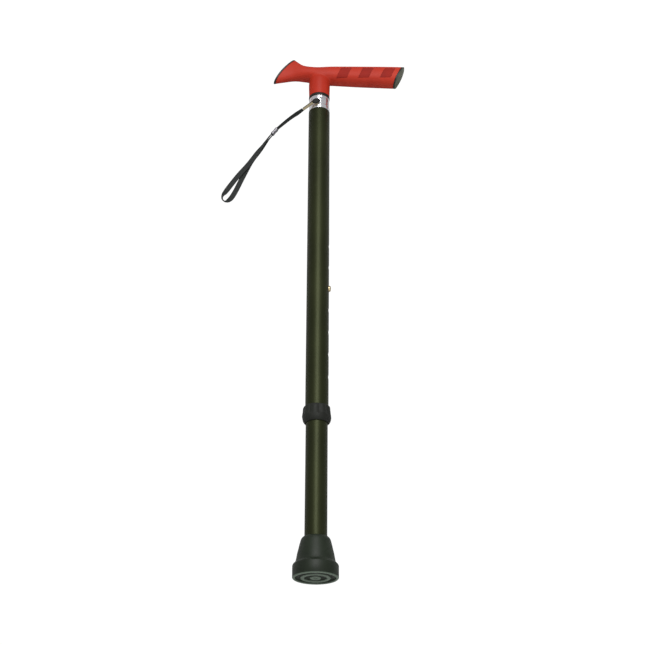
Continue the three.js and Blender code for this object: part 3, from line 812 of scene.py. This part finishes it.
combine(clip, loose([(stud.x + p, stud.y - r, q) for p, q, r in points], faces), "UNION")
eased_edges(clip, 0.00012, 2, 50)
pale_brass = bare_metal("pale_brass", (0.66, 0.56, 0.36), 0.34, (200, 200, 200))
finish_in(clip, "strap_clip_stamped", "strap", "brass", "strap_clip", pale_brass, black)
# Painted shade: the clip's upper-left side, away from the stud, gets the black plastic in place of the brass,
# standing in for its shaded edge.
for polygon in clip.data.polygons:
    from_stud = (polygon.center * 1000 - stud).to_2d()
    painted_shade_side = from_stud.dot(side_way.to_2d()) < -1.1 and from_stud.length > 3.6
    polygon.material_index = 1 if painted_shade_side else 0

crimp_rings = [(0, 0.9), (0.03, 0.97), (0.1, 1), (0.3, 1), (0.36, 0.93), (0.42, 0.9), (0.58, 0.9),
               (0.64, 0.93), (0.7, 1), (0.9, 1), (0.97, 0.97), (1, 0.9)]
crimp_up = crimp_side.cross(crimp_way).normalized()
half_thick, half_wide = 1.9, 3.0
points, around = [], 32
for at, size in crimp_rings:
    centre = crimp_start.lerp(crimp_end, at)
    for j in range(around):
        angle = 2 * math.pi * j / around
        c, s = math.cos(angle), math.sin(angle)
        points.append(centre + crimp_side * (half_thick * size * math.copysign(abs(c) ** 0.7, c))
                      + crimp_up * (half_wide * size * math.copysign(abs(s) ** 0.7, s)))
faces = skin(len(crimp_rings), around)
silver = bare_metal("crimp_silver", (0.27, 0.26, 0.28), 0.42, (150, 150, 150))
mesh_piece("strap_crimp_sleeve", points, faces, "strap", silver, "strap_crimp")


# ---- Floor and lights ----
# A plain white table that slopes to touch the foot's rim and the handle, under a long soft light.
# The camera sees table and surroundings plain white, and the light falls on softer tones of both.
def seen_plain(tree, seen, lit, end):
    """Shows the camera one shader and everything else the other."""
    ray = tree.nodes.new("ShaderNodeLightPath")
    pick = tree.nodes.new("ShaderNodeMixShader")
    tree.links.new(ray.outputs["Is Camera Ray"], pick.inputs["Fac"])
    tree.links.new(lit.outputs[0], pick.inputs[1])
    tree.links.new(seen.outputs[0], pick.inputs[2])
    tree.links.new(pick.outputs[0], end.inputs["Surface"])


rim_y, rim_drop, slope = 7, 22.05, 0.0184
floor_points = []
for x, y in ((-3, -3), (3, -3), (3, 4), (-3, 4)):
    floor_points.append((x, y, (-rim_drop + slope * (y * 1000 - rim_y)) * 0.001))
floor_mesh = bpy.data.meshes.new("floor")
floor_mesh.from_pydata(floor_points, [], [(0, 1, 2, 3)])
floor = bpy.data.objects.new("floor", floor_mesh)
bpy.context.scene.collection.objects.link(floor)
paper = bpy.data.materials.new("white_paper")
paper.use_nodes = True
paper.node_tree.nodes.clear()
white = node(paper, "ShaderNodeEmission", Strength=1.05)
matte = node(paper, "ShaderNodeBsdfDiffuse", Color=(0.5, 0.5, 0.5, 1))
seen_plain(paper.node_tree, white, matte, node(paper, "ShaderNodeOutputMaterial"))
floor_mesh.materials.append(paper)

world = bpy.data.worlds.new("studio")
bpy.context.scene.world = world
world.use_nodes = True
sky = world.node_tree.nodes["Background"]
sky.inputs["Strength"].default_value = 0.45
sky.inputs["Color"].default_value = (1, 1, 1, 1)
white = node(world, "ShaderNodeBackground", Strength=1.05, Color=(1, 1, 1, 1))
seen_plain(world.node_tree, white, sky, world.node_tree.nodes["World Output"])


def soft_light(name, place, target, size, power):
    """A rectangular lamp that points at a target."""
    lamp = bpy.data.lights.new(name, "AREA")
    lamp.shape = "RECTANGLE"
    lamp.size, lamp.size_y = size
    lamp.energy = power
    made = bpy.data.objects.new(name, lamp)
    made.location = place
    made.rotation_euler = (Vector(target) - Vector(place)).to_track_quat("-Z", "Y").to_euler()
    bpy.context.scene.collection.objects.link(made)


soft_light("overhead", (0.02, 0.75, 1.5), (0, 0.4, 0), (0.6, 1.6), 20)
soft_light("fill", (0.2, -1.2, 0.9), (0, 0.2, 0), (0.6, 0.6), 5)
bpy.context.scene.view_settings.view_transform = "Standard"
